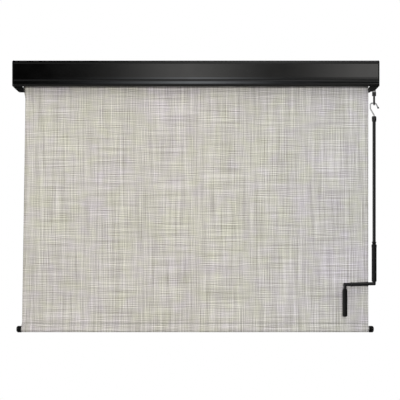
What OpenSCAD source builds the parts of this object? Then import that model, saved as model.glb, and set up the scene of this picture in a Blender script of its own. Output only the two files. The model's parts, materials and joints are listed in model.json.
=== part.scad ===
// Outdoor roller shade with a valance, a worm gear and a hook-on crank.
// Millimetres, +Z up, +X to the right as seen from the front, wall plane at y = 0.
// The origin is the centre of the four wall screws.

/* [Shade] */
// Width of the shade over its end caps
shade_w = 1835; // [1300:5:2400]
// Drop from the bottom of the valance to the bottom of the hem
drop_h = 1237; // [1225:1:2000]
// Thickness of the woven fabric
fabric_t = 0.5; // [0.4:0.05:0.7]
// Height of one woven rib over the fabric
rib_p = 0.25; // [0.15:0.05:0.4]
// Number of warp ribs across the fabric
warp_ribs = 107; // [40:1:114]
// Number of weft ribs down the fabric
weft_ribs = 78; // [30:1:90]

/* [Valance] */
// Height of the valance
valance_h = 129; // [120:1:150]
// Depth from the wall to the valance face
valance_d = 116; // [114:1:140]
// Wall of the valance
valance_t = 2; // [1.5:0.1:2.5]
// Thickness of each end cap
cap_t = 7; // [4:0.5:8]

/* [End brackets and housings] */
// Sheet thickness of the wall brackets
bracket_t = 2; // [1.6:0.1:3]
// Diameter of the wall screw holes
screw_hole_d = 6.5; // [5:0.1:8]
// Height between the two wall screws of a bracket
screw_dz = 60; // [40:1:70]
// Width of an end housing
house_w = 32; // [30:0.5:40]
// How far the housings hang below the valance
foot_drop = 26; // [26:1:40]

/* [Roller] */
// Outer diameter of the roller tube
tube_d = 37; // [34:0.5:40]
// Wall of the roller tube
tube_t = 1.6; // [1.2:0.1:2]
// Turns of fabric left on the roller when the shade is down
roll_turns = 2.9; // [1.9:0.25:3.9]
// Distance from the wall to the roller axis
roller_d = 58; // [55:1:60]
// Diameter of the drive shaft where it turns in the gear cover
drive_d = 16; // [15:0.5:17]
// Diameter of the idler pin
idler_d = 12; // [8:0.5:14]

/* [Worm gear] */
// Module of the worm gear
gear_m = 2; // [1.8:0.05:2.1]
// Teeth of the worm wheel
wheel_teeth = 14; // [13:1:15]
// Starts of the worm
worm_starts = 2; // [1:1:2]
// Pitch radius of the worm
worm_r = 8; // [7.5:0.1:8.5]
// Width of the worm wheel
wheel_w = 8; // [6:0.5:9]
// Clearance between the worm and its wheel
mesh_gap = 0.4; // [0.35:0.05:0.6]
// Diameter of the worm shaft
worm_shaft_d = 10; // [8:0.5:11]

/* [Hem bar] */
// Outer diameter of the hem bar
hem_d = 29; // [25:0.5:30]
// Wall of the hem bar
hem_t = 1.5; // [1.2:0.1:2.5]
// Length of a hem end cap outside the bar
hem_cap_l = 24; // [17:0.5:28]

/* [Crank] */
// Height of the gear eye
eye_h = 54; // [50:1:70]
// Width of the gear eye
eye_w = 34; // [30:1:36]
// Wire of the gear eye
eye_wire_d = 7; // [6:0.5:8]
// Wire of the hook
hook_wire_d = 6.5; // [5:0.5:7]
// Height of the hook over its ferrule
hook_h = 65; // [60:1:80]
// Outer diameter of the pole
pole_d = 16.5; // [14:0.5:16.5]
// Wall of the pole
pole_t = 1.5; // [1.2:0.1:2]
// Length from the ferrule top to the arm
pole_l = 840; // [500:1:900]
// Reach of the crank arm
arm_reach = 146; // [120:1:200]
// Slope of the crank arm in degrees
arm_slope = 1.5; // [0:0.5:8]
// Diameter of the arm rod
arm_d = 16.5; // [12:0.5:16.5]
// Length of the upper grip
upper_grip_l = 187; // [100:1:260]
// Length of the lower grip
lower_grip_l = 132; // [80:1:150]
// Diameter of both grips
grip_d = 25; // [22.5:0.5:26]

/* [Hidden] */
$fn = 64;
// Overrun of every cut, and the clearances
over = 1;
run_fit = 0.05;
slip_fit = 0.1;
body_gap = 0.3;
seat_gap = 0.15;
// Segments of a rounded corner
corner_n = 5;
// A rod's bends are this much thicker, and lap over its straights by this many degrees
bend_swell = 0.2;
bend_lap = 2;
elbow_r = 6;

// Valance section, measured along y and z
half_w = shade_w / 2;
valance_top = valance_h / 2;
valance_bot = -valance_h / 2;
wall_gap = 1;
bevel_d = 11;
bevel_h = 11;
bevel_r = 5;
eave_p = 2.5;
eave_h = 6;
eave_r = 1;
mould_h = 32;
cove_h = 24.5;
cove_d = 1.5;
cove_r = 6;
nose_h = 8.5;
nose_p = 2.5;
nose_r = 8;
under_d = 9;
lip_d = 22;
bead_up = 38.5;
bead_z = valance_bot + bead_up;
bead_h = 12;
bead_p = 1.2;
bead_low = 4;
bead_r = 0.4;
bead_root = 1;
cap_proud = 0.6;
cap_edge = 2;
cap_r = 7;
cap_front = valance_d + nose_p + cap_proud;
spigot_d = 2;
spigot_t = 1.8;

// Stack from the end cap inwards
side_gap = 0.5;
tube_gap = 3;
tube_over = 0.5;
x_val = half_w - cap_t;
x_side = x_val - spigot_d - side_gap;
x_house = x_side - bracket_t;
x_inner = x_house - house_w;
x_tube = x_inner - tube_gap;
x_fabric = x_tube - tube_over;

// Brackets
bracket_bot = -50;
bracket_front = 98;
flange_front = 86;
plate_corner = 8;
flange_top = valance_top - valance_t;
x_screw = (x_inner + x_side) / 2;
house_screw_d = 5;
house_screw_head_d = 8;
house_screw_head_h = 2;
house_screw_l = 9;
house_screw_y = 46;
house_screw_zs = [-34, 36];

// Housings
house_front = 98;
house_back = 34;
house_top = 46;
house_bot = -52;
house_r = 8;
foot_front = 92;
foot_back = 42;
ear_in = 4;
foot_gap = 1;
foot_reach = half_w - ear_in;
foot_z = valance_bot - foot_gap;
foot_bot = valance_bot - foot_drop;
foot_l = 12;
foot_in = x_inner - foot_l;
gear_foot_l = 5.6;
gear_foot_in = x_inner - gear_foot_l;
notch_in = 3;
notch_x = x_inner - notch_in;
notch_h = 4;
ear_h = 3;
chamfer_w = 16.5;
foot_flat_x = x_house - chamfer_w;
foot_r = 2.5;
lobe_out = 2.4;
lobe_x = x_inner + lobe_out;
lobe_drop = 1.5;
lobe_bot = foot_bot - lobe_drop;
lobe_r = 3.8;
lobe_rise = 4;
lobe_slope = 2;
gear_chamfer_w = 10.5;
gear_flat_x = x_house - gear_chamfer_w;
cover_t = 3;
house_wall = 1.5;
cover_screw_d = 3;
cover_screw_l = 9;
cover_screw_in = 9;
cover_head_d = 5.5;
cover_head_h = 1.6;
cover_screw_ys = [cover_screw_in - house_front, -house_back - cover_screw_in];
cover_screw_zs = [house_bot + cover_screw_in, house_top - cover_screw_in];

// Worm gear
roller_z = -8;
wave_share = 0.575;
wave = wave_share * gear_m;
wheel_r = gear_m * wheel_teeth / 2;
worm_lead = gear_m * PI * worm_starts;
worm_l = 30;
worm_y = -roller_d - wheel_r - worm_r - mesh_gap;
gear_room = 1;
crank_x = x_house - house_wall - worm_r - wave - gear_room;
wheel_room_x = crank_x + wheel_w / 2 + gear_room;
wheel_turn = worm_lead / (2 * PI * worm_r) / wheel_r * 180 / PI;
wave_n = 10;
wheel_slices = 4;
worm_steps = 20;
wheel_seat = 10;
stub_d = 10;
bush_d = 16;
bush_flange_d = 18;
bush_flange_t = 3;
bush_l = 10;
worm_top = roller_z + worm_l / 2;
worm_low = roller_z - worm_l / 2;
gear_foot = foot_bot + lobe_rise;

// Roller
roll_r0 = tube_d / 2 + slip_fit;
roll_r1 = roll_r0 + roll_turns * fabric_t;
roll_n = 60;
roll_slack = 0.05;
plug_l = 40;
plug_flange_t = 2;
plug_flange_p = 1.5;
plug_flange_d = tube_d + 2 * plug_flange_p;
plug_r = tube_d / 2 - tube_t - slip_fit;
key_w = 9;
key_h = 5.5;
slot_w = 4.2;
slot_lip = 2.6;
spline_h = 2.4;
shaft_square = 11;
shaft_in = 30;
pin_in = 30;
pin_head_d = 18;
pin_head_t = 4;

// Fabric and hem
panel_y = -roller_d + roll_r1 + body_gap + rib_p;
hem_cap_p = 2;
hem_cap_d = hem_d + 2 * hem_cap_p;
hem_z = valance_bot - drop_h + hem_cap_d / 2;
pocket_t = 1.2;
tail_h = 26;
tail_t = 2;
seam_h = 3;
seam_p = 0.5;
panel_top = roller_z;
panel_bot = hem_z + tail_h + body_gap;
panel_l = panel_top - panel_bot;
rib_share = 0.62;
hem_over = 7;
hem_shift = 4;
pocket_lean = 10;
x_hem = x_fabric + hem_over;
x_hem_left = -x_hem - hem_shift;
x_hem_right = x_hem - hem_shift;
x_pocket = -x_fabric - pocket_lean;
pocket_w = x_fabric - x_pocket;
hem_dome_r = 6;
hem_plug_l = 22;

// Gear eye and its hub
hub_d = 20;
hub_h = 20;
shaft_show = 2;
hub_z = gear_foot - bush_flange_t - shaft_show;
eye_pin_d = 3;
eye_r = (eye_w - eye_wire_d) / 2;
eye_leg = eye_h - eye_w;
eye_top = hub_z - hub_h + eye_wire_d;
eye_low = eye_top - eye_h + eye_wire_d / 2;

// Crank
hook_z = eye_low + eye_wire_d / 2 + hook_wire_d / 2 + body_gap;
ferrule_top = hook_z - hook_h;
ferrule_l = 27;
ferrule_d = 23;
ferrule_neck_d = 20;
ferrule_face = 7;
hook_bend = 8;
hook_root = 5;
hook_shank = 12;
hook_left = -19;
hook_rise = 38;
hook_right = 8;
hook_tip_x = 18.5;
hook_tip_h = 46;
tip_d = 8.5;
tip_l = 8;
tip_r = 2;
arm_z = ferrule_top - pole_l;
bend_leg = arm_d / 2 + bend_swell;
bend_rest = 1.5;
grip_base = arm_z + bend_leg + bend_rest;
arm_low = arm_z - arm_reach * tan(arm_slope);
grip_fit = 0.06;
arm_spigot_l = 30;
collar_d = 22.5;
collar_ring = 5.5;
collar_neck = 8;
collar_neck_d = 18.8;
flare_p = 0.75;
flare_d = grip_d + 2 * flare_p;
flare_h = 10;
grip_round = 3;
grip_taper = 0.75;
neck_l = 17.5;
stop_d = 20.5;
stop_h = 4;
lower_top = arm_low - bend_leg - neck_l;
lower_bot = lower_top - lower_grip_l;
retainer_d = 19.5;
retainer_h = 3;
retainer_l = 16;
retainer_stem_d = 6;
end_play = 0.2;
sleeve_d = 19.5;
sleeve_bead_d = 23;
sleeve_bead = 5;
sleeve_from = 30;
sleeve_l = arm_reach - 2 * sleeve_from;

// Unit vector, and the left-hand normal of a step
function unit(v) = v / norm(v);
function left(v) = [-v[1], v[0]];

// A corner at p rounded with radius r, as points of its arc
function corner(a, p, b, r) =
    let (
        u = unit(a - p),
        v = unit(b - p),
        half = acos(u * v) / 2,
        mid = p + unit(u + v) * r / sin(half),
        side = cross(u, v) > 0 ? 1 : -1,
        from = atan2((p + u * r / tan(half) - mid)[1], (p + u * r / tan(half) - mid)[0])
    )
    [for (i = [0 : corner_n])
        let (t = from - side * (180 - 2 * half) * i / corner_n)
        mid + r * [cos(t), sin(t)]];

// An open line with rounded inner corners, from points [x, y, radius]
function rounded_line(pts) =
    let (last = len(pts) - 1, flat = [for (p = pts) [p[0], p[1]]])
    [for (i = [0 : last])
        each (i == 0 || i == last || pts[i][2] == 0)
            ? [flat[i]]
            : corner(flat[i - 1], flat[i], flat[i + 1], pts[i][2])];

// A closed outline with rounded corners
function rounded_loop(pts) =
    let (n = len(pts), flat = [for (p = pts) [p[0], p[1]]])
    [for (i = [0 : n - 1])
        each pts[i][2] == 0
            ? [flat[i]]
            : corner(flat[(i + n - 1) % n], flat[i], flat[(i + 1) % n], pts[i][2])];

// The same line moved to its left by t
function moved_line(pts, t) =
    let (last = len(pts) - 1)
    [for (i = [0 : last])
        let (
            n1 = left(unit(pts[max(i, 1)] - pts[max(i, 1) - 1])),
            n2 = left(unit(pts[min(i, last - 1) + 1] - pts[min(i, last - 1)]))
        )
        pts[i] + t * (n1 + n2) / (1 + n1 * n2)];

function reversed(pts) = [for (i = [len(pts) - 1 : -1 : 0]) pts[i]];

// Outer line of the valance section, from the wall over the top to the bottom lip
skin = rounded_line([
    [-wall_gap, valance_top, 0],
    [bevel_d - valance_d, valance_top, bevel_r],
    [-valance_d - eave_p, valance_top - bevel_h, 0],
    [-valance_d, valance_top - bevel_h - eave_h, eave_r],
    [-valance_d, valance_bot + mould_h, bevel_r],
    [cove_d - valance_d, valance_bot + cove_h, cove_r],
    [-valance_d - nose_p, valance_bot + nose_h, nose_r],
    [under_d - valance_d, valance_bot, cove_r],
    [lip_d - valance_d, valance_bot, 0],
]);

// A profile given in y and z, drawn along x from x0 to x1
module along_x(x0, x1) {
    translate([x0, 0, 0])
        rotate([90, 0, 90])
            linear_extrude(height = x1 - x0)
                children();
}

// A profile given in x and z, drawn along y from y0 to y1
module along_y(y0, y1) {
    translate([0, y1, 0])
        rotate([90, 0, 0])
            linear_extrude(height = y1 - y0)
                children();
}

// A round bar along x
module bar_x(x0, x1, d, y, z) {
    translate([x0, y, z])
        rotate([0, 90, 0])
            cylinder(d = d, h = x1 - x0);
}

// A bar along x at the roller axis
module roller_bar(x0, x1, d) {
    bar_x(x0, x1, d, -roller_d, roller_z);
}

// A square bar along x at the roller axis
module roller_square(x0, x1, s) {
    translate([x0, -roller_d - s / 2, roller_z - s / 2])
        cube([x1 - x0, s, s]);
}

// A round bar along z on the crank axis
module crank_bar(z0, z1, d) {
    translate([crank_x, worm_y, z0])
        cylinder(d = d, h = z1 - z0);
}

// Signed turn from one direction to the next
function turn(d1, d2) = atan2(cross(d1, d2), d1 * d2);

// A round rod along a line of points in x and z, with bends of one radius
module bent_rod(pts, d, bend, y) {
    last = len(pts) - 1;
    dirs = [for (i = [0 : last - 1]) unit(pts[i + 1] - pts[i])];
    turns = [for (i = [0 : last]) (i == 0 || i == last) ? 0 : turn(dirs[i - 1], dirs[i])];
    trims = [for (t = turns) bend * tan(abs(t) / 2)];
    translate([0, y, 0])
        rotate([90, 0, 0]) {
            for (i = [0 : last - 1])
                translate(pts[i] + dirs[i] * trims[i])
                    rotate([0, 90, atan2(dirs[i][1], dirs[i][0])])
                        cylinder(d = d, h = norm(pts[i + 1] - pts[i]) - trims[i] - trims[i + 1]);
            for (i = [1 : last - 1])
                if (trims[i] > 0)
                    let (
                        side = turns[i] > 0 ? 1 : -1,
                        heading = atan2(dirs[i - 1][1], dirs[i - 1][0]),
                        mid = pts[i] - dirs[i - 1] * trims[i] + side * left(dirs[i - 1]) * bend
                    )
                    translate(mid)
                        rotate(heading - side * 90 + min(turns[i], 0) - bend_lap)
                            rotate_extrude(angle = abs(turns[i]) + 2 * bend_lap)
                                translate([bend, 0])
                                    circle(d = d + bend_swell);
        }
}

// A round rod down, across and down through points in x and z, with a round-ended hub at each elbow
module elbow_rod(pts, d, y) {
    last = len(pts) - 1;
    for (i = [0 : last - 1])
        let (step = pts[i + 1] - pts[i])
        translate([pts[i][0], y, pts[i][1]])
            rotate([0, atan2(step[0], step[1]), 0])
                cylinder(d = d, h = norm(step));
    for (i = [1 : last - 1])
        let (r = d / 2 + bend_swell)
        translate([pts[i][0], y, pts[i][1]])
            rotate([i == 1 ? 0 : 180, 0, 0])
                rotate_extrude()
                    polygon(rounded_line([
                        [0, -r, 0],
                        [r, -r, elbow_r],
                        [r, r, 0],
                        [0, r, 0],
                    ]));
}

// Outline of a gear with wavy teeth
function wavy(r, lobes, phase) =
    let (n = lobes * wave_n)
    [for (i = [0 : n - 1])
        let (a = 360 * i / n)
        (r + wave * cos(lobes * (a - phase))) * [cos(a), sin(a)]];

module valance() {
    color([0.06, 0.06, 0.06]) {
        along_x(-x_val, x_val)
            polygon(concat(skin, reversed(moved_line(skin, valance_t))));
        along_x(-x_val, x_val)
            polygon(rounded_loop([
                [bead_root - valance_d, bead_z + bead_h / 2, 0],
                [-valance_d, bead_z + bead_h / 2, 0],
                [-valance_d - bead_p, bead_z - bead_low, bead_r],
                [-valance_d, bead_z - bead_h / 2, 0],
                [bead_root - valance_d, bead_z - bead_h / 2, 0],
            ]));
    }
}

// A cap's outline, grown by t over the valance skin
module cap_outline(t) {
    polygon(concat(moved_line(skin, -t), [[-wall_gap, valance_bot - t]]));
}

module end_cap() {
    color([0.05, 0.05, 0.05]) {
        intersection() {
            union() {
                along_x(x_val, half_w - cap_edge)
                    cap_outline(cap_proud);
                along_x(half_w - cap_edge, half_w)
                    cap_outline(cap_proud - cap_edge / 2);
            }
            along_y(-cap_front - over, 0)
                polygon(rounded_loop([
                    [x_val - cap_r, valance_bot - cap_edge, 0],
                    [half_w, valance_bot - cap_edge, 0],
                    [half_w, valance_top + cap_proud, cap_r],
                    [x_val - cap_r, valance_top + cap_proud, 0],
                ]));
            translate([0, 0, -valance_h])
                linear_extrude(2 * valance_h)
                    polygon(rounded_loop([
                        [x_val - cap_r, 0, 0],
                        [x_val - cap_r, -cap_front, 0],
                        [half_w, -cap_front, cap_r],
                        [half_w, 0, 0],
                    ]));
        }
        along_x(x_val - spigot_d, x_val)
            polygon(concat(
                moved_line(skin, valance_t + seat_gap),
                reversed(moved_line(skin, valance_t + seat_gap + spigot_t))
            ));
    }
}

module end_cap_right() {
    end_cap();
}

module end_cap_left() {
    mirror([1, 0, 0])
        end_cap();
}

module bracket() {
    color([0.09, 0.09, 0.09])
        difference() {
            union() {
                translate([x_inner, -bracket_t, bracket_bot])
                    cube([x_side - x_inner, bracket_t, flange_top - bracket_bot]);
                translate([x_inner, -flange_front, flange_top - bracket_t])
                    cube([x_side - x_inner, flange_front, bracket_t]);
                along_x(x_house, x_side)
                    polygon(rounded_loop([
                        [0, bracket_bot, 0],
                        [0, flange_top, 0],
                        [-bracket_front, flange_top, plate_corner],
                        [-bracket_front, bracket_bot, plate_corner],
                    ]));
            }
            for (z = [-1, 1] * screw_dz / 2)
                translate([x_screw, over, z])
                    rotate([90, 0, 0])
                        cylinder(d = screw_hole_d, h = bracket_t + 2 * over);
            for (z = house_screw_zs)
                bar_x(x_house - over, x_side + over, house_screw_d, -house_screw_y, z);
        }
}

module bracket_right() {
    bracket();
}

module bracket_left() {
    mirror([1, 0, 0])
        bracket();
}

// Main block of an end housing from x0 to the bracket's side plate
module house_block(x0) {
    along_x(x0, x_house)
        polygon(rounded_loop([
            [-house_back, house_bot, house_r],
            [-house_back, house_top, house_r],
            [-house_front, house_top, house_r],
            [-house_front, house_bot, house_r],
        ]));
    translate([x0, -foot_front, foot_z - over])
        cube([x_house - x0, foot_front - foot_back, house_bot - foot_z + 2 * over]);
}

// Threaded holes for the two screws through the bracket
module house_screw_holes() {
    for (z = house_screw_zs)
        bar_x(x_side - house_screw_l, x_house + over, house_screw_d - slip_fit, -house_screw_y, z);
}

module idler_housing() {
    color([0.05, 0.05, 0.05])
        mirror([1, 0, 0])
            difference() {
                union() {
                    house_block(x_inner);
                    along_y(-foot_front, -foot_back)
                        polygon(rounded_loop([
                            [notch_x, foot_z, 0],
                            [foot_reach, foot_z, 0],
                            [foot_reach, foot_z - ear_h, foot_r],
                            [foot_flat_x, foot_bot, foot_r],
                            [foot_in, foot_bot, foot_r],
                            [foot_in, foot_z - notch_h, 0],
                        ]));
                }
                roller_bar(x_inner - over, x_house - house_wall, idler_d);
                roller_bar(x_house - house_wall - pin_head_t, x_house + over, pin_head_d);
                house_screw_holes();
            }
}

module gear_housing() {
    color([0.05, 0.05, 0.05])
        difference() {
            union() {
                house_block(x_inner + cover_t);
                along_y(-foot_front, -foot_back)
                    polygon(rounded_loop([
                        [notch_x, foot_z, 0],
                        [foot_reach, foot_z, 0],
                        [foot_reach, foot_z - ear_h, foot_r],
                        [gear_flat_x, gear_foot, foot_r],
                        [lobe_x + lobe_slope, gear_foot, 0],
                        [lobe_x, lobe_bot, lobe_r],
                        [gear_foot_in, lobe_bot, lobe_r],
                        [gear_foot_in, foot_z - notch_h, 0],
                    ]));
            }
            roller_bar(x_inner + cover_t - over, wheel_room_x, 2 * (wheel_r + wave + gear_room));
            roller_bar(wheel_room_x - over, x_house + over, stub_d + 2 * run_fit);
            crank_bar(worm_low - body_gap, worm_top + body_gap, 2 * (worm_r + wave + gear_room));
            crank_bar(worm_top, worm_top + bush_l, bush_d);
            crank_bar(gear_foot - over, worm_low, bush_d);
            house_screw_holes();
            cover_screw_row(cover_screw_d - slip_fit, 0);
        }
}

// Four small bars through the gear cover's corners
module cover_screw_row(d, out) {
    for (y = cover_screw_ys, z = cover_screw_zs)
        bar_x(x_inner - out, x_inner + cover_screw_l, d, y, z);
}

module gear_cover() {
    color([0.07, 0.07, 0.07])
        difference() {
            along_x(x_inner, x_inner + cover_t)
                polygon(rounded_loop([
                    [-house_back, house_bot, house_r],
                    [-house_back, house_top, house_r],
                    [-house_front, house_top, house_r],
                    [-house_front, house_bot, house_r],
                ]));
            roller_bar(x_inner - over, x_inner + cover_t + over, drive_d + 2 * run_fit);
            cover_screw_row(cover_screw_d, over);
        }
}

module cover_screws() {
    color([0.6, 0.6, 0.62])
        for (y = cover_screw_ys, z = cover_screw_zs) {
            bar_x(x_inner, x_inner + cover_screw_l, cover_screw_d - slip_fit, y, z);
            bar_x(x_inner - cover_head_h, x_inner, cover_head_d, y, z);
        }
}

module housing_screws() {
    color([0.6, 0.6, 0.62])
        for (side = [0, 1])
            mirror([side, 0, 0])
                for (z = house_screw_zs) {
                    bar_x(x_side - house_screw_l, x_side, house_screw_d - slip_fit, -house_screw_y, z);
                    bar_x(x_side, x_side + house_screw_head_h, house_screw_head_d, -house_screw_y, z);
                }
}

module idler_pin() {
    color([0.7, 0.7, 0.72])
        mirror([1, 0, 0]) {
            roller_bar(x_tube - pin_in, x_house - house_wall, idler_d);
            roller_bar(x_house - house_wall - pin_head_t, x_house - house_wall, pin_head_d);
        }
}

module worm_bush_upper() {
    color([0.72, 0.6, 0.35])
        difference() {
            crank_bar(worm_top + body_gap, worm_top + bush_l, bush_d);
            crank_bar(worm_top - over, worm_top + bush_l + over, worm_shaft_d + 2 * run_fit);
        }
}

module worm_bush_lower() {
    color([0.55, 0.55, 0.56])
        difference() {
            union() {
                crank_bar(gear_foot, worm_low - body_gap, bush_d);
                crank_bar(gear_foot - bush_flange_t, gear_foot, bush_flange_d);
            }
            crank_bar(gear_foot - bush_flange_t - over, worm_low + over, worm_shaft_d + 2 * run_fit);
        }
}

// Ribbed outline of a woven face: n ribs along the run from -half to half
function ribs(half, n) =
    let (pitch = 2 * half / n, w = pitch * rib_share / 2)
    [for (i = [0 : n - 1])
        let (m = pitch * (2 * i + 1) / 2 - half)
        each [[m - w, 0], [m - w / 2, rib_p], [m + w / 2, rib_p], [m + w, 0]]];

module fabric_panel() {
    color([0.76, 0.74, 0.7]) {
        translate([0, panel_y, panel_bot])
            linear_extrude(height = panel_l)
                polygon(concat(
                    [[-x_fabric, fabric_t / 2], [-x_fabric, 0]],
                    [for (p = ribs(x_fabric, warp_ribs)) [p[0], -p[1]]],
                    [[x_fabric, 0], [x_fabric, fabric_t / 2]]
                ));
        translate([0, panel_y, panel_bot + panel_l / 2])
            along_x(-x_fabric, x_fabric)
                polygon(concat(
                    [[fabric_t / 2, panel_l / 2], [fabric_t, panel_l / 2]],
                    [for (p = reversed(ribs(panel_l / 2, weft_ribs))) [fabric_t + p[1], p[0]]],
                    [[fabric_t, -panel_l / 2], [fabric_t / 2, -panel_l / 2]]
                ));
    }
}

// Channel inside the tube that holds the fabric's edge
module key_room(x0, x1, gap) {
    translate([x0, -roller_d - key_w / 2 - gap, roller_z + tube_d / 2 - tube_t - key_h - gap])
        cube([x1 - x0, key_w + 2 * gap, key_h + tube_t + gap]);
}

module roller_tube() {
    color([0.75, 0.76, 0.77])
        difference() {
            union() {
                difference() {
                    roller_bar(-x_tube, x_tube, tube_d);
                    roller_bar(-x_tube - over, x_tube + over, tube_d - 2 * tube_t);
                }
                intersection() {
                    key_room(-x_tube, x_tube, 0);
                    roller_bar(-x_tube, x_tube, tube_d - tube_t);
                }
            }
            translate([-x_tube - over, -roller_d - slot_w / 2, roller_z + tube_d / 2 - slot_lip - spline_h])
                cube([2 * (x_tube + over), slot_w, slot_lip + spline_h + over]);
        }
}

module tube_spline() {
    color([0.85, 0.85, 0.83])
        translate([-x_tube, -roller_d - slot_w / 2 + slip_fit, roller_z + tube_d / 2 - slot_lip - spline_h])
            cube([2 * x_tube, slot_w - 2 * slip_fit, spline_h]);
}

// A tube plug with its flange on the tube's end
module plug_body() {
    difference() {
        roller_bar(x_tube - plug_l, x_tube, 2 * plug_r);
        key_room(x_tube - plug_l - over, x_tube, slip_fit);
    }
    roller_bar(x_tube, x_tube + plug_flange_t, plug_flange_d);
}

module drive_plug() {
    color([0.12, 0.12, 0.12])
        difference() {
            plug_body();
            roller_square(x_tube - shaft_in, x_tube + plug_flange_t + over, shaft_square + 2 * slip_fit);
        }
}

module idler_plug() {
    color([0.12, 0.12, 0.12])
        mirror([1, 0, 0])
            difference() {
                plug_body();
                roller_bar(x_tube - pin_in - over, x_tube + plug_flange_t + over, idler_d + 2 * run_fit);
            }
}

module drive_shaft() {
    color([0.7, 0.7, 0.72]) {
        roller_square(x_tube - shaft_in, x_tube + plug_flange_t, shaft_square);
        roller_bar(x_tube + plug_flange_t, crank_x - wheel_w / 2, drive_d);
        roller_square(crank_x - wheel_w / 2, crank_x + wheel_w / 2, wheel_seat);
        roller_bar(crank_x + wheel_w / 2, x_house - over, stub_d);
    }
}

module worm_wheel() {
    color([0.72, 0.6, 0.35])
        difference() {
            translate([crank_x - wheel_w / 2, -roller_d, roller_z])
                rotate([0, 90, 0])
                    rotate(-wheel_turn * wheel_w / 2)
                        linear_extrude(height = wheel_w, twist = -wheel_turn * wheel_w, slices = wheel_slices)
                            polygon(wavy(wheel_r, wheel_teeth, 180 / wheel_teeth - 90));
            roller_square(crank_x - wheel_w, crank_x + wheel_w, wheel_seat + 2 * slip_fit);
        }
}

// The fabric's turns on the roller: a band that winds outwards
module fabric_roll() {
    n = ceil(roll_n * roll_turns);
    band = [for (i = [0 : n]) [roll_r0 + roll_turns * fabric_t * i / n, 360 * roll_turns * (i / n - 1)]];
    core = roll_r0 - roll_slack;
    thin = fabric_t - roll_slack;
    inner = [for (b = band) [max(b[0] - thin, core), b[1]]];
    color([0.76, 0.74, 0.7])
        translate([0, -roller_d, roller_z])
            along_x(-x_fabric, x_fabric)
                polygon(concat(
                    [for (b = band) b[0] * [cos(b[1]), sin(b[1])]],
                    [for (b = reversed(inner)) b[0] * [cos(b[1]), sin(b[1])]]
                ));
}

module hem_bar() {
    color([0.8, 0.8, 0.79])
        difference() {
            bar_x(x_hem_left, x_hem_right, hem_d, panel_y, hem_z);
            bar_x(x_hem_left - over, x_hem_right + over, hem_d - 2 * hem_t, panel_y, hem_z);
        }
}

module hem_pocket() {
    color([0.76, 0.74, 0.7])
        difference() {
            union() {
                bar_x(x_pocket, x_fabric, hem_d + 2 * pocket_t + 2 * slip_fit, panel_y, hem_z);
                translate([x_pocket, panel_y - tail_t / 2, hem_z])
                    cube([pocket_w, tail_t, tail_h]);
                translate([x_pocket, panel_y - tail_t / 2 - seam_p, hem_z + tail_h - 2 * seam_h])
                    cube([pocket_w, tail_t + 2 * seam_p, seam_h]);
            }
            bar_x(x_pocket - over, x_fabric + over, hem_d + 2 * slip_fit, panel_y, hem_z);
        }
}

module hem_cap() {
    color([0.05, 0.05, 0.05])
        translate([0, panel_y, hem_z])
            rotate([0, 90, 0])
                rotate_extrude()
                    polygon(rounded_line([
                        [0, -hem_plug_l, 0],
                        [hem_d / 2 - hem_t - slip_fit, -hem_plug_l, 0],
                        [hem_d / 2 - hem_t - slip_fit, 0, 0],
                        [hem_cap_d / 2, 0, 0],
                        [hem_cap_d / 2, hem_cap_l - hem_dome_r, hem_dome_r],
                        [hem_cap_d / 2 - hem_dome_r, hem_cap_l, hem_dome_r],
                        [0, hem_cap_l, 0],
                    ]));
}

module hem_cap_right() {
    translate([x_hem_right, 0, 0])
        hem_cap();
}

module hem_cap_left() {
    translate([x_hem_left, 0, 0])
        mirror([1, 0, 0])
            hem_cap();
}

module worm() {
    color([0.6, 0.6, 0.62]) {
        translate([crank_x, worm_y, worm_low + body_gap])
            rotate(90 + 360 * (body_gap - worm_l / 2) / worm_lead)
                linear_extrude(
                    height = worm_l - 2 * body_gap,
                    twist = -360 * (worm_l - 2 * body_gap) / worm_lead,
                    slices = round(worm_steps * worm_l / worm_lead),
                    $fn = worm_starts * wave_n
                )
                    polygon(wavy(worm_r, worm_starts, 0));
        crank_bar(worm_top - body_gap, worm_top + bush_l, worm_shaft_d);
        difference() {
            crank_bar(hub_z - hub_h / 2 - eye_pin_d, worm_low + body_gap, worm_shaft_d);
            eye_pin_bar(eye_pin_d + slip_fit, over);
        }
    }
}

// The pin across the hub, or its hole when made thicker and longer by out at each end
module eye_pin_bar(d, out) {
    reach = hub_d / 2 + out;
    bar_x(crank_x - reach, crank_x + reach, d, worm_y, hub_z - hub_h / 2 + eye_pin_d / 2);
}

module eye_pin() {
    color([0.6, 0.6, 0.62])
        eye_pin_bar(eye_pin_d, 0);
}

module crank_eye() {
    color([0.05, 0.05, 0.05])
        difference() {
            union() {
                crank_bar(hub_z - hub_h, hub_z, hub_d);
                translate([crank_x, worm_y, eye_top - eye_wire_d / 2 - eye_r])
                    rotate([90, 0, 90])
                        rotate_extrude(angle = 180)
                            translate([eye_r, 0])
                                circle(d = eye_wire_d);
                translate([crank_x, worm_y, eye_low + eye_r])
                    rotate([90, 180, 90])
                        rotate_extrude(angle = 180)
                            translate([eye_r, 0])
                                circle(d = eye_wire_d);
                for (side = [-1, 1])
                    translate([crank_x, worm_y + side * eye_r, eye_low + eye_r])
                        cylinder(d = eye_wire_d, h = eye_leg);
            }
            crank_bar(hub_z - hub_h / 2 - eye_pin_d, hub_z + over, worm_shaft_d + slip_fit);
            eye_pin_bar(eye_pin_d + slip_fit, over);
        }
}

// Points of the hook, measured from the ferrule's top on the crank axis
hook_line = [
    [crank_x, ferrule_top - hook_shank],
    [crank_x, ferrule_top + hook_root],
    [crank_x + hook_left, ferrule_top + hook_rise],
    [crank_x + hook_left, hook_z],
    [crank_x + hook_right, hook_z],
    [crank_x + hook_tip_x, ferrule_top + hook_tip_h],
];

module crank_hook() {
    color([0.75, 0.75, 0.77])
        bent_rod(hook_line, hook_wire_d, hook_bend, worm_y);
}

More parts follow.
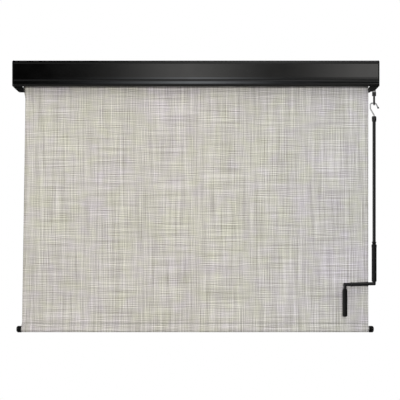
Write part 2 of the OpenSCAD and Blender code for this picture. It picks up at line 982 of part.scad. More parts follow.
module hook_tip() {
    from = hook_line[4];
    to = hook_line[5];
    lean = atan2(to[0] - from[0], to[1] - from[1]);
    color([0.1, 0.1, 0.1])
        translate([to[0], worm_y, to[1]])
            rotate([0, lean, 0])
                rotate_extrude()
                    polygon(rounded_line([
                        [0, 0, 0],
                        [tip_d / 2, 0, 0],
                        [tip_d / 2, tip_l, tip_r],
                        [0, tip_l, 0],
                    ]));
}

module crank_ferrule() {
    color([0.06, 0.06, 0.06])
        difference() {
            translate([crank_x, worm_y, ferrule_top - ferrule_l])
                rotate_extrude()
                    polygon([
                        [0, 0],
                        [ferrule_neck_d / 2, 0],
                        [ferrule_d / 2, ferrule_face],
                        [ferrule_d / 2, ferrule_l - ferrule_face],
                        [ferrule_neck_d / 2, ferrule_l],
                        [0, ferrule_l],
                    ]);
            crank_bar(ferrule_top - hook_shank, ferrule_top + over, hook_wire_d + slip_fit);
            crank_bar(ferrule_top - ferrule_l - over, ferrule_top - hook_shank - pole_t, pole_d + slip_fit);
        }
}

module crank_pole() {
    color([0.08, 0.08, 0.08])
        difference() {
            crank_bar(grip_base, ferrule_top - hook_shank - pole_t, pole_d);
            crank_bar(grip_base - over, ferrule_top + over, pole_d - 2 * pole_t);
        }
}

module pole_collar() {
    color([0.05, 0.05, 0.05])
        difference() {
            union() {
                crank_bar(grip_base + upper_grip_l + end_play, grip_base + upper_grip_l + collar_neck,
                    collar_neck_d);
                crank_bar(grip_base + upper_grip_l + collar_neck,
                    grip_base + upper_grip_l + collar_neck + collar_ring, collar_d);
            }
            crank_bar(grip_base, ferrule_top, pole_d + slip_fit);
        }
}

module crank_arm() {
    color([0.06, 0.06, 0.06])
        difference() {
            union() {
                elbow_rod([
                    [crank_x, grip_base],
                    [crank_x, arm_z],
                    [crank_x - arm_reach, arm_low],
                    [crank_x - arm_reach, lower_bot - end_play],
                ], arm_d, worm_y);
                crank_bar(grip_base, grip_base + arm_spigot_l, pole_d - 2 * pole_t);
            }
            translate([crank_x - arm_reach, worm_y, lower_bot - over])
                cylinder(d = retainer_stem_d, h = retainer_l + over);
        }
}

// A ring on the sloping arm, from s0 to s1 along it
module arm_ring(s0, s1, d) {
    translate([crank_x, worm_y, arm_z])
        rotate([0, -90 - arm_slope, 0])
            translate([0, 0, s0])
                cylinder(d = d, h = s1 - s0);
}

module arm_sleeve() {
    color([0.07, 0.07, 0.07])
        difference() {
            union() {
                arm_ring(sleeve_from, sleeve_from + sleeve_l, sleeve_d);
                arm_ring(sleeve_from, sleeve_from + sleeve_bead, sleeve_bead_d);
                arm_ring(sleeve_from + sleeve_l - sleeve_bead, sleeve_from + sleeve_l, sleeve_bead_d);
            }
            arm_ring(sleeve_from - over, sleeve_from + sleeve_l + over, arm_d + slip_fit);
        }
}

module grip_stop() {
    color([0.05, 0.05, 0.05])
        translate([crank_x - arm_reach, worm_y, lower_top + end_play])
            difference() {
                cylinder(d = stop_d, h = stop_h);
                translate([0, 0, -over])
                    cylinder(d = arm_d + slip_fit, h = stop_h + 2 * over);
            }
}

module grip_retainer() {
    color([0.05, 0.05, 0.05])
        translate([crank_x - arm_reach, worm_y, lower_bot - end_play]) {
            translate([0, 0, -retainer_h])
                cylinder(d = retainer_d, h = retainer_h);
            cylinder(d = retainer_stem_d, h = retainer_l - over);
        }
}

module upper_grip() {
    color([0.04, 0.04, 0.04])
        difference() {
            translate([crank_x, worm_y, grip_base + end_play])
                rotate_extrude()
                    polygon(rounded_line([
                        [0, 0, 0],
                        [grip_d / 2, 0, grip_round],
                        [grip_d / 2, upper_grip_l - 2 * flare_h, flare_h],
                        [flare_d / 2, upper_grip_l - flare_h, grip_round],
                        [flare_d / 2, upper_grip_l - end_play, grip_round],
                        [0, upper_grip_l - end_play, 0],
                    ]));
            crank_bar(grip_base, grip_base + upper_grip_l + over, pole_d + 2 * grip_fit);
        }
}

module lower_grip() {
    color([0.04, 0.04, 0.04])
        difference() {
            translate([crank_x - arm_reach, worm_y, lower_bot])
                rotate_extrude()
                    polygon(rounded_line([
                        [0, 0, 0],
                        [grip_d / 2, 0, grip_round],
                        [grip_d / 2 - grip_taper, lower_grip_l, grip_round],
                        [0, lower_grip_l, 0],
                    ]));
            translate([crank_x - arm_reach, worm_y, lower_bot - over])
                cylinder(d = arm_d + 2 * grip_fit, h = lower_grip_l + 2 * over);
        }
}

valance();
end_cap_left();
end_cap_right();
bracket_left();
bracket_right();
idler_housing();
gear_housing();
gear_cover();
idler_pin();
worm_bush_upper();
worm_bush_lower();
housing_screws();
cover_screws();
fabric_panel();
roller_tube();
tube_spline();
drive_plug();
idler_plug();
drive_shaft();
worm_wheel();
fabric_roll();
hem_bar();
hem_pocket();
hem_cap_left();
hem_cap_right();
worm();
crank_eye();
eye_pin();
crank_hook();
hook_tip();
crank_ferrule();
crank_pole();
pole_collar();
crank_arm();
arm_sleeve();
grip_stop();
grip_retainer();
upper_grip();
lower_grip();
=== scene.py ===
"""Looks of the outdoor roller shade: cloth pieces, materials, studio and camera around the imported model.

Metres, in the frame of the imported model: +X right and +Z up as seen from the front, +Y into the wall.
"""
import json
import math

import bmesh
import bpy
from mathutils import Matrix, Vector


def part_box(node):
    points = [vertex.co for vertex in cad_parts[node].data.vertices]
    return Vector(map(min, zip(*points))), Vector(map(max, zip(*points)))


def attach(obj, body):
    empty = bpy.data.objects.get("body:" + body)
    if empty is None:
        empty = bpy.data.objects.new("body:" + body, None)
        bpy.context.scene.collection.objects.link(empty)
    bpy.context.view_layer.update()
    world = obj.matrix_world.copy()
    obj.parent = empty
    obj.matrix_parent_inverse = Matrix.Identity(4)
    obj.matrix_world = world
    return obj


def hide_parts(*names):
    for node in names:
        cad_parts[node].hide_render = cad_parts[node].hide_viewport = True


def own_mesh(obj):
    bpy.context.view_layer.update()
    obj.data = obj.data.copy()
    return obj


# Camera: straight on, level, far enough away for the photo's flat perspective
CAMERA_AT = (0.0207, -7.0, -0.633)
CAMERA_LENS = 124.1
CAMERA_SENSOR = 36
CAMERA_REACH = 100

# Hanging cloth; its waves as (size, turn along x, turn along z, start)
CLOTH_T = 0.0005
CLOTH_COLUMNS = 150
CLOTH_ROWS = 110
CLOTH_WAVE = 0.0009
CLOTH_WAVES = ((1.0, 6.1, 0.0, 0.7), (0.6, 14.3, -2.2, 0.0), (0.4, 4.0, 3.3, 0.0))
# Lean of its left edge, and the shares of the drop where it starts, over which it sets in, and where it is nil
LEFT_LEAN = 0.019
LEAN_START = 0.046
LEAN_EASE = 0.05
LEAN_NIL = 0.6

# Cloth on the roller
ROLL_TURNS = 2.9
ROLL_STEPS = 60
ROLL_COLUMNS = 8

# Hem; the wrap's clearance and the lap at the seam are in thicknesses of the cloth
HEM_COLUMNS = 40
HEM_WRAP_STEPS = 28
HEM_CLEAR = 1.2
HEM_LAP = 0.55
SEAM_DROP = 0.0045
STITCH_L = 0.0038
STITCH_STEP = 0.0056
STITCH_R = 0.00035
STITCH_SIDES = 6
STITCH_PROUD = 0.2
# Rings of a stitch, as (share of its length, share of its radius)
STITCH_RINGS = ((-0.5, 0.3), (-0.3, 0.9), (0.0, 1.0), (0.3, 0.9), (0.5, 0.3))

# Weave: yarns, and the shaded gaps between them below a share of a yarn's height
YARN_PITCH = 0.0013
WEAVE_DEPTH = 0.00018
WEAVE_STRENGTH = 0.6
GAP_HEIGHT = 0.35
GAP_SHADE = 0.72
# Slub streaks as (seed, depth) and heavier picks as (step, seed, depth), those across first, then those down
SLUBS_ALONG = 3.6
SLUBS_ACROSS = 450
SLUBS = ((3.1, 1.07), (7.7, 1.04))
PICKS = ((0.0118, 13.3, 0.29), (0.0132, 17.9, 0.15))
PICK_PATCH = 14
# Yarn colours over the range of streaks and picks, tints that drift, and painted light: a cooler cast of light
# painted on towards the right side
SHADE_REACH = 0.26
YARN_COLOURS = (
    (0.0, (0.285, 0.272, 0.246)),
    (0.5, (0.505, 0.488, 0.453)),
    (1.0, (0.76, 0.745, 0.705)),
)
TINT_PATCH = 2.2
TINT_SEED = 15.1
TINTS = ((0.37, (1.0, 1.0, 0.9)), (0.65, (1.0, 0.958, 1.03)))
# Painted light: the colour the cloth is multiplied by at its right side, a cooler cast of light and not a dye
PAINTED_COOL_LIGHT_SIDE = (0.95, 0.972, 1.03)
PAINTED_COOL_LIGHT_X = 0.87

# Other finishes: noise scales, depths, and how colour and roughness change over the band of noise
NOISE_BAND = (0.3, 0.7)
COAT_GRAIN = 900
COAT_CLOUD = 14
COAT_PEEL = 0.00001
COAT_SHADES = (0.8, 1.25)
COAT_GLOSS = (-0.03, 0.04)
MOULD_FLOW = 40
MOULD_STRETCH = (1, 1, 0.3)
MOULD_SHADES = (0.8, 1.3)
MOULD_GLOSS = (-0.05, 0.06)
METAL_MARKS = 900
METAL_CLOUD = 25
METAL_DEPTH = 0.00001
METAL_SHADES = (0.9, 1.0)
METAL_GLOSS = (-0.06, 0.08)
THREAD_TWIST = 1200
THREAD_STRETCH = (3, 1, 1)
THREAD_DEPTH = 0.00008
THREAD_COLOURS = ((0.5, 0.48, 0.44), (0.68, 0.66, 0.61))
# Roughness of coated undersides, dulled by dust, and the z of the surface normal over which the dust ends
DULL_UNDER = 0.7
UNDER_FACING = (-0.8, -0.3)

# Lamps, aimed at the middle of the cloth, and the light from all round
LAMP_AIM = (0, 0, -0.6)
KEY_AT = (0.5, -12.0, 0.38)
KEY_SIZE = (1.8, 0.5)
KEY_POWER = 790
TOP_AT = (0.4, -14.4, 9.2)
TOP_SIZE = (8.0, 10.0)
TOP_POWER = 840
BACK_AT = (-1.2, 4.5, 1.6)
BACK_SIZE = (3.0, 2.0)
BACK_POWER = 220
AMBIENT = 0.42

# Floor
FLOOR_Z = -1.9
FLOOR_X = 6
FLOOR_FRONT = -7
FLOOR_BACK = 1.6
FLOOR_CLOUD = 2
FLOOR_SHADES = (0.86, 0.9)
FLOOR_BOUNCE = (0.4, 0.4, 0.4, 1)

# Cards that only reflections see: a front wall, a sloping sky and a ceiling, edge to edge, with flags round them
WHITE = (1, 1, 1, 1)
CARD_X = 3.5
CARD_Y = -1.7
CARD_LOW = -2.6
SKY_LOW = 0.5
SKY_HIGH = 1.75
SKY_END_Y = -0.75
BACK_Y = 1.2
FLAG_GLOW = 0.1
FLAG_UP = 0.03
WALL_GLOW = 2.0
POLE_CARD_STEP = 0.05
POLE_CARD_TOP = -0.4
POLE_CARD_LOW = -1.35
# Colours of the graded cards, their glow as (x, level), and the heights over which the front card fades in
FRONT_COLOUR = (1, 0.985, 0.96, 1)
FRONT_LEVELS = (
    (-1.1, 0.0), (-0.7, 0.05), (-0.4, 0.55), (-0.1, 2.1), (0.05, 1.8),
    (0.4, 0.25), (0.65, 0.2), (1.1, 2.6), (1.3, 2.4), (1.7, 0.1),
)
FRONT_FADE = (-0.3, -0.1)
SKY_COLOUR = (0.9, 0.95, 1.0, 1)
SKY_LEVELS = ((-1.1, 0.0), (-0.65, 0.05), (-0.25, 1.7), (0.0, 4.8), (0.25, 1.5), (0.55, 0.12), (1.2, 0.12))
CEILING_LEVELS = ((-1.0, 0.0), (-0.6, 0.0), (-0.3, 0.35), (0.0, 0.52), (1.0, 0.48))
POLE_LEVELS = ((-1.9, 1.8), (-1.4, 0.1), (-0.6, 0.5), (0.0, 0.9), (0.9, 0.9), (1.15, 0.05))

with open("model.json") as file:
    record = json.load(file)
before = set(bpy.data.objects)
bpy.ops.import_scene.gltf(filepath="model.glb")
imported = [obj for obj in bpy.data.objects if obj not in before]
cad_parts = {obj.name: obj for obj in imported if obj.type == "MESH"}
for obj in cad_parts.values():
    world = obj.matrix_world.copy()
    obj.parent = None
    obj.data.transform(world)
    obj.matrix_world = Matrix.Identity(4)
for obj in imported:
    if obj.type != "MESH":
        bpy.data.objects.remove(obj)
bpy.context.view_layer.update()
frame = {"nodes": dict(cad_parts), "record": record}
nodes = frame["nodes"]


class Shader:
    """A material's node tree, with short calls for the nodes used here."""

    def __init__(self, name):
        self.material = bpy.data.materials.new(name)
        self.material.use_nodes = True
        self.tree = self.material.node_tree
        self.bsdf = self.tree.nodes["Principled BSDF"]

    def add(self, kind, inputs=None, **settings):
        """A new node; inputs are sockets to link or values to set."""
        node = self.tree.nodes.new(kind)
        for key, value in settings.items():
            setattr(node, key, value)
        for key, value in (inputs or {}).items():
            self.put(node.inputs[key], value)
        return node

    def put(self, socket, value):
        """Links a socket to another one, or sets its value."""
        if isinstance(value, bpy.types.NodeSocket):
            self.tree.links.new(value, socket)
        else:
            socket.default_value = value

    def set(self, **inputs):
        """Sets or links sockets of the surface shader; _ in a name stands for a space."""
        for key, value in inputs.items():
            self.put(self.bsdf.inputs[key.replace("_", " ")], value)

    def math(self, operation, a, b=0.0):
        return self.add("ShaderNodeMath", {0: a, 1: b}, operation=operation).outputs[0]

    def place(self, stretch=(1, 1, 1)):
        """The piece's own coordinates, stretched."""
        where = self.add("ShaderNodeTexCoord").outputs["Object"]
        return self.add("ShaderNodeMapping", {"Vector": where, "Scale": stretch}).outputs[0]

    def split(self, vector):
        """The sockets X, Y and Z of a vector."""
        return self.add("ShaderNodeSeparateXYZ", {0: vector}).outputs

    def join(self, x, y, z):
        return self.add("ShaderNodeCombineXYZ", {"X": x, "Y": y, "Z": z}).outputs[0]

    def noise(self, vector, scale, detail=2.0, rough=0.5):
        return self.add(
            "ShaderNodeTexNoise", {"Vector": vector, "Scale": scale, "Detail": detail, "Roughness": rough}
        ).outputs["Fac"]

    def spread(self, value, low, high, to_low, to_high):
        """A value between low and high, moved to between two others and kept there."""
        return self.add(
            "ShaderNodeMapRange",
            {"Value": value, "From Min": low, "From Max": high, "To Min": to_low, "To Max": to_high},
        ).outputs["Result"]

    def ramp(self, value, stops, between="LINEAR"):
        """Colours along a value, as (place, colour)."""
        node = self.add("ShaderNodeValToRGB", {"Fac": value})
        node.color_ramp.interpolation = between
        elements = node.color_ramp.elements
        while len(elements) < len(stops):
            elements.new(0.5)
        for element, (at, colour) in zip(elements, stops):
            element.position = at
            element.color = (*colour, 1)
        return node.outputs["Color"]

    def shades(self, noise, base, factors):
        """A colour that goes from one multiple of itself to another over the band of noise."""
        return self.ramp(noise, [(at, [factor * c for c in base]) for at, factor in zip(NOISE_BAND, factors)])

    def uneven(self, noise, rough, change):
        """Roughness that changes over the band of noise."""
        return self.spread(noise, *NOISE_BAND, rough + change[0], rough + change[1])

    def mix(self, factor, a, b, blend="MIX"):
        """Two colours mixed; on a Mix node, these sockets come after those for numbers and vectors."""
        return self.add(
            "ShaderNodeMix", {"Factor": factor, 6: a, 7: b}, data_type="RGBA", blend_type=blend
        ).outputs[2]

    def times(self, a, b):
        """One colour multiplied by another."""
        return self.mix(1.0, a, b, "MULTIPLY")

    def bump(self, height, distance, strength=1.0):
        return self.add(
            "ShaderNodeBump", {"Height": height, "Distance": distance, "Strength": strength}
        ).outputs["Normal"]


def coated(name, base, rough):
    """Satin powder coat: fine orange peel, a slightly uneven gloss and dusty undersides."""
    s = Shader(name)
    place = s.place()
    grain = s.noise(place, COAT_GRAIN)
    cloud = s.noise(place, COAT_CLOUD, detail=3)
    facing = s.split(s.add("ShaderNodeTexCoord").outputs["Normal"])["Z"]
    dust = s.spread(facing, *UNDER_FACING, DULL_UNDER, 0.0)
    s.set(
        Base_Color=s.shades(cloud, base, COAT_SHADES),
        Roughness=s.math("MAXIMUM", s.uneven(cloud, rough, COAT_GLOSS), dust),
        Normal=s.bump(grain, COAT_PEEL),
    )
    return s.material


def moulded(name, base, rough, specular=0.5, grain_scale=1500, depth=0.00004):
    """Moulded plastic: a fine spark-eroded grain and faint flow marks."""
    s = Shader(name)
    grain = s.noise(s.place(), grain_scale, rough=0.7)
    flow = s.noise(s.place(MOULD_STRETCH), MOULD_FLOW, detail=3)
    s.set(
        Base_Color=s.shades(flow, base, MOULD_SHADES),
        Roughness=s.uneven(grain, rough, MOULD_GLOSS),
        Specular_IOR_Level=specular,
        Normal=s.bump(grain, depth),
    )
    return s.material


def metal(name, base, rough, stretch):
    """Bare metal with drawn or turned marks, which are long where the stretch is small."""
    s = Shader(name)
    marks = s.noise(s.place(stretch), METAL_MARKS, detail=3, rough=0.6)
    cloud = s.noise(s.place(), METAL_CLOUD, detail=3)
    s.set(
        Base_Color=s.shades(cloud, base, METAL_SHADES),
        Metallic=1.0,
        Roughness=s.uneven(marks, rough, METAL_GLOSS),
        Normal=s.bump(marks, METAL_DEPTH),
    )
    return s.material


def woven(name):
    """Linen-look screen cloth: slub streaks and picks both ways, drifting tints, a painted cooler cast of light
    towards the right side, and a plain weave of yarns.
    """
    s = Shader(name)
    where = s.split(s.place())
    x, z = where["X"], where["Z"]

    def streaks(along, across, seed, depth):
        """Light and dark yarn runs, long one way and a few millimetres the other, about zero."""
        run = s.math("MULTIPLY", along, SLUBS_ALONG)
        row = s.math("MULTIPLY", across, SLUBS_ACROSS)
        slubs = s.noise(s.join(run, row, seed), 1.0, rough=0.6)
        return s.spread(slubs, 0, 1, -depth / 2, depth / 2)

    def ladder(across, step, seed, depth):
        """Evenly spaced heavier picks that come and go in patches."""
        patch = s.spread(s.noise(s.join(x, seed, z), PICK_PATCH, detail=1.0), 0, 1, -depth, depth)
        wave = s.math("SINE", s.math("MULTIPLY", across, math.tau / step))
        return s.math("MULTIPLY", wave, patch)

    level = s.math("ADD", streaks(x, z, *SLUBS[0]), streaks(z, x, *SLUBS[1]))
    picks = s.math("ADD", ladder(z, *PICKS[0]), ladder(x, *PICKS[1]))
    shade = s.spread(s.math("ADD", level, picks), -SHADE_REACH, SHADE_REACH, 0.0, 1.0)

    over = s.math("MULTIPLY", x, 1 / YARN_PITCH)
    up = s.math("MULTIPLY", z, 1 / YARN_PITCH)
    cell = s.math("ADD", s.math("FLOOR", over), s.math("FLOOR", up))
    turn = s.math("FLOORED_MODULO", cell, 2.0)
    arch_over = s.math("SINE", s.math("MULTIPLY", s.math("FRACT", over), math.pi))
    arch_up = s.math("SINE", s.math("MULTIPLY", s.math("FRACT", up), math.pi))
    height = s.add("ShaderNodeMix", {"Factor": turn, "A": arch_over, "B": arch_up}).outputs["Result"]

    yarn = s.ramp(shade, YARN_COLOURS)
    tint = s.ramp(s.noise(s.join(x, TINT_SEED, z), TINT_PATCH, detail=4, rough=1.0), TINTS)
    # Painted light: a cooler cast of light that grows across the cloth towards its right side, multiplied into the
    # yarn colour
    painted_cool_light = s.ramp(s.spread(x, 0.0, PAINTED_COOL_LIGHT_X, 0, 1), ((0.0, (1, 1, 1)), (1.0, PAINTED_COOL_LIGHT_SIDE)))
    gaps = s.spread(height, 0.0, GAP_HEIGHT, GAP_SHADE, 1.0)
    s.set(
        Base_Color=s.times(s.times(s.times(yarn, tint), painted_cool_light), gaps),
        Roughness=0.85,
        Specular_IOR_Level=0.2,
        Sheen_Weight=0.08,
        Normal=s.bump(height, WEAVE_DEPTH, WEAVE_STRENGTH),
    )
    return s.material


def thread(name):
    """Twisted sewing thread."""
    s = Shader(name)
    twist = s.noise(s.place(THREAD_STRETCH), THREAD_TWIST)
    s.set(
        Base_Color=s.ramp(twist, list(zip(NOISE_BAND, THREAD_COLOURS))),
        Roughness=0.8,
        Normal=s.bump(twist, THREAD_DEPTH),
    )
    return s.material


MATERIALS = {
    "black_coat": coated("black_coat", (0.0012, 0.0012, 0.0012), rough=0.18),
    "black_plastic": moulded("black_plastic", (0.003, 0.003, 0.003), rough=0.42, specular=0.15),
    "grip": moulded("grip", (0.004, 0.004, 0.0043), rough=0.5, specular=0.3, grain_scale=1100, depth=0.00008),
    "black_steel": coated("black_steel", (0.0045, 0.0045, 0.0045), rough=0.3),
    "plated_steel": metal("plated_steel", (0.62, 0.62, 0.63), rough=0.26, stretch=(1, 1, 0.05)),
    "bronze": metal("bronze", (0.6, 0.48, 0.28), rough=0.34, stretch=(0.05, 1, 1)),
    "bare_aluminium": metal("bare_aluminium", (0.78, 0.78, 0.77), rough=0.38, stretch=(0.02, 1, 1)),
    "spline_plastic": moulded("spline_plastic", (0.8, 0.8, 0.78), rough=0.45),
    "shade_fabric": woven("shade_fabric"),
}


def dress(obj, material):
    obj.data.materials.clear()
    obj.data.materials.append(material)


for part in frame["record"]["subparts"]:
    dress(nodes[part["node"]], MATERIALS[part["material_slot"]])


def new_object(name, mesh, material, smooth=True):
    """A new object of a mesh, in the scene."""
    if smooth:
        mesh.polygons.foreach_set("use_smooth", [True] * len(mesh.polygons))
    mesh.update()
    obj = bpy.data.objects.new(name, mesh)
    bpy.context.scene.collection.objects.link(obj)
    dress(obj, material)
    return obj


def mesh_piece(name, points, faces, material, smooth=True):
    """A new object from points and faces."""
    mesh = bpy.data.meshes.new(name)
    mesh.from_pydata(points, [], faces)
    return new_object(name, mesh, material, smooth)


def grid_faces(columns, rows):
    """Quads of a grid of points, row after row."""
    wide = columns + 1
    return [
        (r * wide + c, r * wide + c + 1, (r + 1) * wide + c + 1, (r + 1) * wide + c)
        for r in range(rows) for c in range(columns)
    ]


def cloth_piece(name, points, columns, rows):
    """A cloth from a grid of points, with its thickness half to each side."""
    obj = mesh_piece(name, points, grid_faces(columns, rows), MATERIALS["shade_fabric"])
    solid = obj.modifiers.new("thickness", "SOLIDIFY")
    solid.thickness = CLOTH_T
    solid.offset = 0
    solid.use_even_offset = True
    return obj


def swept_cloth(name, path, x0, x1, columns):
    """A cloth band that follows a path in y and z, from x0 to x1."""
    points = [(x0 + (x1 - x0) * c / columns, y, z) for y, z in path for c in range(columns + 1)]
    return cloth_piece(name, points, columns, len(path) - 1)


def make_panel():
    """The hanging cloth: level, with faint waves and its left edge leaning out towards the hem."""
    low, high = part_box("fabric_panel")
    middle = (low.y + high.y) / 2
    points = []
    for r in range(CLOTH_ROWS + 1):
        down = r / CLOTH_ROWS
        z = high.z + (low.z - high.z) * down
        ease = min(1.0, max(0.0, (down - LEAN_START) / LEAN_EASE))
        left = low.x + LEFT_LEAN * (LEAN_NIL - down) * ease ** 2 * (3 - 2 * ease)
        free = math.sin(math.pi * down)
        for c in range(CLOTH_COLUMNS + 1):
            x = left + (high.x - left) * c / CLOTH_COLUMNS
            wave = sum(size * math.sin(by_x * x + by_z * z + start) for size, by_x, by_z, start in CLOTH_WAVES)
            points.append((x, middle + CLOTH_WAVE * free * wave, z))
    obj = cloth_piece("shade_cloth", points, CLOTH_COLUMNS, CLOTH_ROWS)
    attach(obj, "head")
    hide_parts("fabric_panel")
    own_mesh(obj)


def make_roll():
    """The turns of cloth left on the roller."""
    low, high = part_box("fabric_roll")
    tube_low, tube_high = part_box("roller_tube")
    axis_y, axis_z = (tube_low + tube_high).yz / 2
    inner = (tube_high.z - tube_low.z) / 2 + CLOTH_T
    outer = high.y - axis_y - CLOTH_T / 2
    steps = round(ROLL_TURNS * ROLL_STEPS)
    path = []
    for i in range(steps + 1):
        r = inner + (outer - inner) * i / steps
        turn = math.tau * ROLL_TURNS * (i / steps - 1)
        path.append((axis_y + r * math.cos(turn), axis_z + r * math.sin(turn)))
    obj = swept_cloth("roll_cloth", path, low.x, high.x, ROLL_COLUMNS)
    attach(obj, "roller")
    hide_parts("fabric_roll")


def make_hem():
    """The hem pocket: cloth down the front, round the bar and up the back to a sewn seam.

    Returns the y of the seam's front face and the seam's z.
    """
    low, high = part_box("hem_pocket")
    bar_low, bar_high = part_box("hem_bar")
    y, z = (bar_low.y + bar_high.y) / 2, (bar_low.z + bar_high.z) / 2
    r = (bar_high.z - bar_low.z) / 2 + HEM_CLEAR * CLOTH_T
    seam = high.z - SEAM_DROP
    lean = math.asin(r / (seam - z))
    lap = HEM_LAP * CLOTH_T
    path = [(y - lap, high.z - CLOTH_T / 2), (y - lap, seam)]
    for i in range(HEM_WRAP_STEPS + 1):
        turn = math.pi - lean + (math.pi + 2 * lean) * i / HEM_WRAP_STEPS
        path.append((y + r * math.cos(turn), z + r * math.sin(turn)))
    path += [(y + lap, seam), (y + lap, high.z - CLOTH_T / 2)]
    obj = swept_cloth("hem_cloth", path, low.x, high.x, HEM_COLUMNS)
    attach(obj, "hem")
    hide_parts("hem_pocket")
    return y - lap - CLOTH_T / 2, seam


def make_stitches(y, z):
    """A row of lockstitches along the hem's seam."""
    low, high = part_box("hem_pocket")
    count = int((high.x - low.x - STITCH_STEP) / STITCH_STEP)
    turns = [math.tau * k / STITCH_SIDES for k in range(STITCH_SIDES)]
    build = bmesh.new()
    for i in range(count):
        middle = low.x + STITCH_STEP * (i + 1)
        rings = []
        for along, size in STITCH_RINGS:
            rings.append([
                build.verts.new((
                    middle + along * STITCH_L,
                    y - STITCH_R * size * (STITCH_PROUD + math.sin(turn)),
                    z + STITCH_R * size * math.cos(turn),
                ))
                for turn in turns
            ])
        for a, b in zip(rings, rings[1:]):
            for k in range(STITCH_SIDES):
                after = (k + 1) % STITCH_SIDES
                build.faces.new((a[k], a[after], b[after], b[k]))
        build.faces.new(rings[0][::-1])
        build.faces.new(rings[-1])
    bmesh.ops.recalc_face_normals(build, faces=build.faces)
    mesh = bpy.data.meshes.new("hem_stitches")
    build.to_mesh(mesh)
    build.free()
    obj = new_object("hem_stitches", mesh, thread("seam_thread"))
    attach(obj, "hem")


make_panel()
make_roll()
seam_y, seam_z = make_hem()
make_stitches(seam_y, seam_z)


def rectangle(name, corners, material):
    """A stage card or floor from its four corners."""
    obj = mesh_piece(name, corners, [(0, 1, 2, 3)], material, smooth=False)
    return obj


def card(name, corners, material):
    """A studio card that shows in glossy surfaces and nowhere else."""
    obj = rectangle(name, corners, material)
    obj.visible_camera = False
    obj.visible_diffuse = False
    obj.visible_shadow = False
    obj.visible_transmission = False
    obj.visible_volume_scatter = False


def wide_card(name, low, high, material):
    """A card over the whole width between two (y, z) edges."""
    card(name, [(-CARD_X, *low), (CARD_X, *low), (CARD_X, *high), (-CARD_X, *high)], material)


def side_card(name, x, material):
    """A card at one end, from the floor to the ceiling."""
    card(name, [
        (x, CARD_Y, FLOOR_Z), (x, BACK_Y, FLOOR_Z), (x, BACK_Y, SKY_HIGH), (x, CARD_Y, SKY_HIGH)
    ], material)


def glowing(name, colour):
    """An emitting material and the socket of its strength."""
    s = Shader(name)
    s.tree.nodes.remove(s.bsdf)
    glow = s.add("ShaderNodeEmission", {"Color": colour})
    s.tree.links.new(glow.outputs[0], s.tree.nodes["Material Output"].inputs["Surface"])
    return s, glow.inputs["Strength"]


def even(name, level):
    """White that glows alike all over."""
    s, strength = glowing(name, WHITE)
    s.put(strength, level)
    return s.material


def graded(name, colour, levels, fade=None):
    """A glow along x, as (x, level), smooth from one to the next; fade is the heights over which it comes in."""
    s, strength = glowing(name, colour)
    where = s.split(s.place())
    along = s.spread(where["X"], -CARD_X, CARD_X, 0, 1)
    top = max(level for _, level in levels)
    stops = [((x + CARD_X) / (2 * CARD_X), [level / top] * 3) for x, level in levels]
    glow = s.math("MULTIPLY", s.ramp(along, stops, "B_SPLINE"), top)
    if fade:
        glow = s.math("MULTIPLY", glow, s.spread(where["Z"], *fade, 0, 1))
    s.put(strength, glow)
    return s.material


def make_front_card():
    """The studio in front that the valance face mirrors: lit in the middle and at the right, dark below."""
    glow = graded("front_card", FRONT_COLOUR, FRONT_LEVELS, FRONT_FADE)
    wide_card("front_card", (CARD_Y, CARD_LOW), (CARD_Y, SKY_LOW), glow)


def make_sky_card():
    """A cool soft box above the front, mirrored in the bead and the valance's lower moulding."""
    glow = graded("sky_card", SKY_COLOUR, SKY_LEVELS)
    wide_card("sky_card", (CARD_Y, SKY_LOW), (SKY_END_Y, SKY_HIGH), glow)


def make_ceiling_card():
    """The ceiling that the valance's top bevel mirrors."""
    glow = graded("ceiling_card", WHITE, CEILING_LEVELS)
    wide_card("ceiling_card", (SKY_END_Y, SKY_HIGH), (BACK_Y, SKY_HIGH), glow)


def make_flags():
    """Dark flags behind, below and at the right, which keep the rims of the black parts dark; a pale left wall."""
    dark = even("flag", FLAG_GLOW)
    wide_card("back_flag", (BACK_Y, SKY_HIGH), (BACK_Y, FLOOR_Z), dark)
    wide_card("floor_flag", (CARD_Y, FLOOR_Z + FLAG_UP), (BACK_Y, FLOOR_Z + FLAG_UP), dark)
    side_card("right_flag", CARD_X, dark)
    side_card("left_wall", -CARD_X, even("left_wall", WALL_GLOW))


def make_pole_card():
    """The low part of the studio, which lights the pole from the left and leaves its right side dark."""
    glow = graded("pole_card", WHITE, POLE_LEVELS)
    y = CARD_Y + POLE_CARD_STEP
    wide_card("pole_card", (y, POLE_CARD_LOW), (y, POLE_CARD_TOP), glow)


def seen_rays(tree):
    """1 for rays that look at the background, straight or by reflection, and 0 for its light on the shade."""
    rays = tree.nodes.new("ShaderNodeLightPath").outputs
    seen = rays["Is Camera Ray"]
    for name in ("Is Glossy Ray", "Is Transmission Ray"):
        either = tree.nodes.new("ShaderNodeMath")
        either.operation = "MAXIMUM"
        tree.links.new(seen, either.inputs[0])
        tree.links.new(rays[name], either.inputs[1])
        seen = either.outputs[0]
    return seen


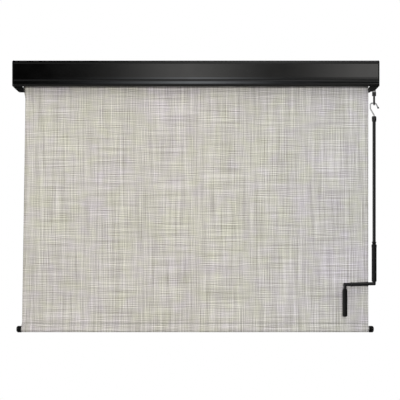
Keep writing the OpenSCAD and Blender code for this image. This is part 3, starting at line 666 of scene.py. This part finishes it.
def make_floor():
    """A pale floor, whose bounce under the hem is kept low."""
    s = Shader("floor")
    pale = s.shades(s.noise(s.place(), FLOOR_CLOUD, detail=3), (1, 1, 1), FLOOR_SHADES)
    s.set(Base_Color=s.mix(seen_rays(s.tree), FLOOR_BOUNCE, pale), Roughness=0.9)
    rectangle("floor", [
        (-FLOOR_X, FLOOR_FRONT, FLOOR_Z), (FLOOR_X, FLOOR_FRONT, FLOOR_Z),
        (FLOOR_X, FLOOR_BACK, FLOOR_Z), (-FLOOR_X, FLOOR_BACK, FLOOR_Z),
    ], s.material)


def make_lamp(name, at, size, power):
    """A soft box aimed at the middle of the cloth."""
    lamp = bpy.data.lights.new(name, "AREA")
    lamp.shape = "RECTANGLE"
    lamp.size, lamp.size_y = size
    lamp.energy = power
    obj = bpy.data.objects.new(name, lamp)
    obj.location = at
    obj.rotation_euler = (Vector(LAMP_AIM) - Vector(at)).to_track_quat("-Z", "Y").to_euler()
    obj.visible_camera = False
    obj.visible_glossy = False
    bpy.context.scene.collection.objects.link(obj)


def make_world():
    """White behind the shade and in its reflections, softer as light on it."""
    world = bpy.data.worlds.new("studio")
    world.use_nodes = True
    bpy.context.scene.world = world
    tree = world.node_tree
    level = tree.nodes.new("ShaderNodeMapRange")
    level.inputs["To Min"].default_value = AMBIENT
    tree.links.new(seen_rays(tree), level.inputs["Value"])
    background = tree.nodes["Background"]
    background.inputs["Color"].default_value = WHITE
    tree.links.new(level.outputs["Result"], background.inputs["Strength"])


def make_camera():
    camera = bpy.data.cameras.new("camera")
    camera.sensor_width = CAMERA_SENSOR
    camera.sensor_fit = "HORIZONTAL"
    camera.lens = CAMERA_LENS
    camera.clip_end = CAMERA_REACH
    obj = bpy.data.objects.new("camera", camera)
    obj.location = CAMERA_AT
    obj.rotation_euler = (math.pi / 2, 0, 0)
    bpy.context.scene.collection.objects.link(obj)
    bpy.context.scene.camera = obj


make_front_card()
make_sky_card()
make_ceiling_card()
make_flags()
make_pole_card()
make_floor()
make_lamp("key", KEY_AT, KEY_SIZE, KEY_POWER)
make_lamp("top", TOP_AT, TOP_SIZE, TOP_POWER)
make_lamp("back", BACK_AT, BACK_SIZE, BACK_POWER)
make_world()
make_camera()
bpy.context.scene.view_settings.view_transform = "Standard"
